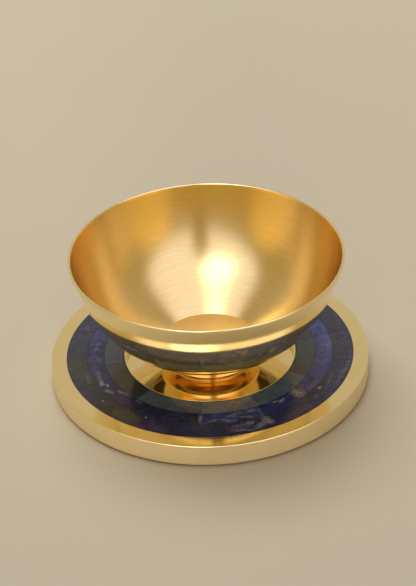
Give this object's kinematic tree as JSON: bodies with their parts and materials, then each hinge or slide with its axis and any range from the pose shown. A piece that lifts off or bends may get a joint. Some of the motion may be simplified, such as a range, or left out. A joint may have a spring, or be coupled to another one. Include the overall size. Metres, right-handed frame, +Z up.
{
  "type": "diya",
  "caption": "Devotional oil lamp: an open brass bowl on a low turned foot, screwed to a round brass tray inlaid with rings of dark stone tiles.",
  "frame": {"origin": "centre of the underside, on the surface that the lamp stands on", "axes": "+Z up along the axis of the bowl and tray, -Y towards the viewer, +X to the viewer's right"},
  "size_m": [0.114, 0.114, 0.05],
  "materials": {
    "polished_brass": "polished",
    "satin_brass": "satin, brushed round its axis",
    "dark_stone": "polished",
    "resin": "dark filler",
    "rubber": "matt black",
    "steel": "zinc plated"
  },
  "bodies": {
    "root": {"base_pad": "rubber", "base_tray": "polished_brass", "bowl": "satin_brass", "foot": "polished_brass", "foot_screw": "steel", "inner_collar": "polished_brass", "screw_washer": "steel", "stone_bed": "resin", "stone_inner_01": "dark_stone", "stone_inner_02": "dark_stone", "stone_inner_03": "dark_stone", "stone_inner_04": "dark_stone", "stone_inner_05": "dark_stone", "stone_inner_06": "dark_stone", "stone_inner_07": "dark_stone", "stone_inner_08": "dark_stone", "stone_inner_09": "dark_stone", "stone_inner_10": "dark_stone", "stone_middle_01": "dark_stone", "stone_middle_02": "dark_stone", "stone_middle_03": "dark_stone", "stone_middle_04": "dark_stone", "stone_middle_05": "dark_stone", "stone_middle_06": "dark_stone", "stone_middle_07": "dark_stone", "stone_middle_08": "dark_stone", "stone_middle_09": "dark_stone", "stone_middle_10": "dark_stone", "stone_middle_11": "dark_stone", "stone_middle_12": "dark_stone", "stone_outer_01": "dark_stone", "stone_outer_02": "dark_stone", "stone_outer_03": "dark_stone", "stone_outer_04": "dark_stone", "stone_outer_05": "dark_stone", "stone_outer_06": "dark_stone", "stone_outer_07": "dark_stone", "stone_outer_08": "dark_stone", "stone_outer_09": "dark_stone", "stone_outer_10": "dark_stone", "stone_outer_11": "dark_stone", "stone_outer_12": "dark_stone", "stone_outer_13": "dark_stone", "stone_outer_14": "dark_stone", "stone_outer_15": "dark_stone", "stone_outer_16": "dark_stone", "stone_outer_17": "dark_stone"}
  },
  "joints": []
}
